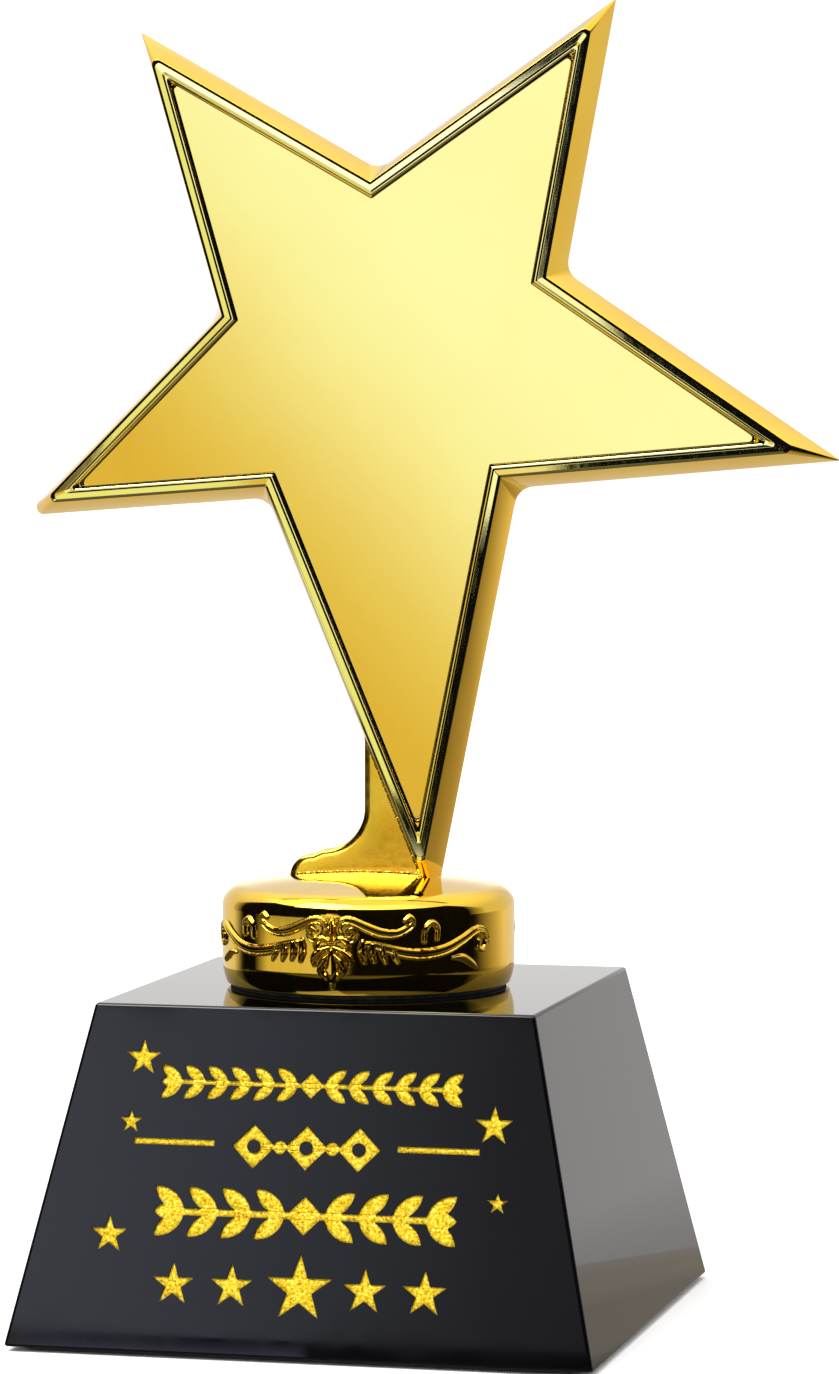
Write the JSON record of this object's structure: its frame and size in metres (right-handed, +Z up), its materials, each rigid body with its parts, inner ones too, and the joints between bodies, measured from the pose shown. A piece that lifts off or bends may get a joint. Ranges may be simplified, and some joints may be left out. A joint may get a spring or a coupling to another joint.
{
  "type": "star trophy",
  "caption": "Award trophy: a gilt star with a raised rim on a scrolled round riser and an engraved black glass block.",
  "frame": {"origin": "centre of the felt's underside, on the table", "axes": "+Z up, -Y out of the engraved front, +X to the right as seen from the front"},
  "size_m": [0.1366, 0.0946, 0.2143],
  "materials": {
    "black_felt": "short black felt",
    "black_glass": "polished opaque black glass",
    "plated_steel": "zinc-plated steel",
    "gold_fill": "granular gold foil paint in the engraving",
    "gasket_rubber": "matt black rubber",
    "gold_plating": "bright gold plating on cast zinc",
    "polished_gold_face": "mirror-polished gold"
  },
  "bodies": {
    "root": {"felt_pad": "black_felt", "base_block": "black_glass", "clamp_bolt": "plated_steel", "bolt_washer": "plated_steel", "row_star_far_left": "gold_fill", "row_star_left": "gold_fill", "row_star_middle": "gold_fill", "row_star_right": "gold_fill", "row_star_far_right": "gold_fill", "left_star_upper": "gold_fill", "left_star_middle": "gold_fill", "left_star_lower": "gold_fill", "right_star_upper": "gold_fill", "right_star_lower": "gold_fill", "left_rule": "gold_fill", "right_rule": "gold_fill", "upper_leaf_band": "gold_fill", "middle_lozenge_chain": "gold_fill", "lower_leaf_band": "gold_fill", "riser_gasket": "gasket_rubber", "riser": "gold_plating", "foot_screws": "plated_steel", "stem_foot": "gold_plating", "star_frame": "gold_plating", "star_face_plate": "polished_gold_face"}
  },
  "joints": []
}
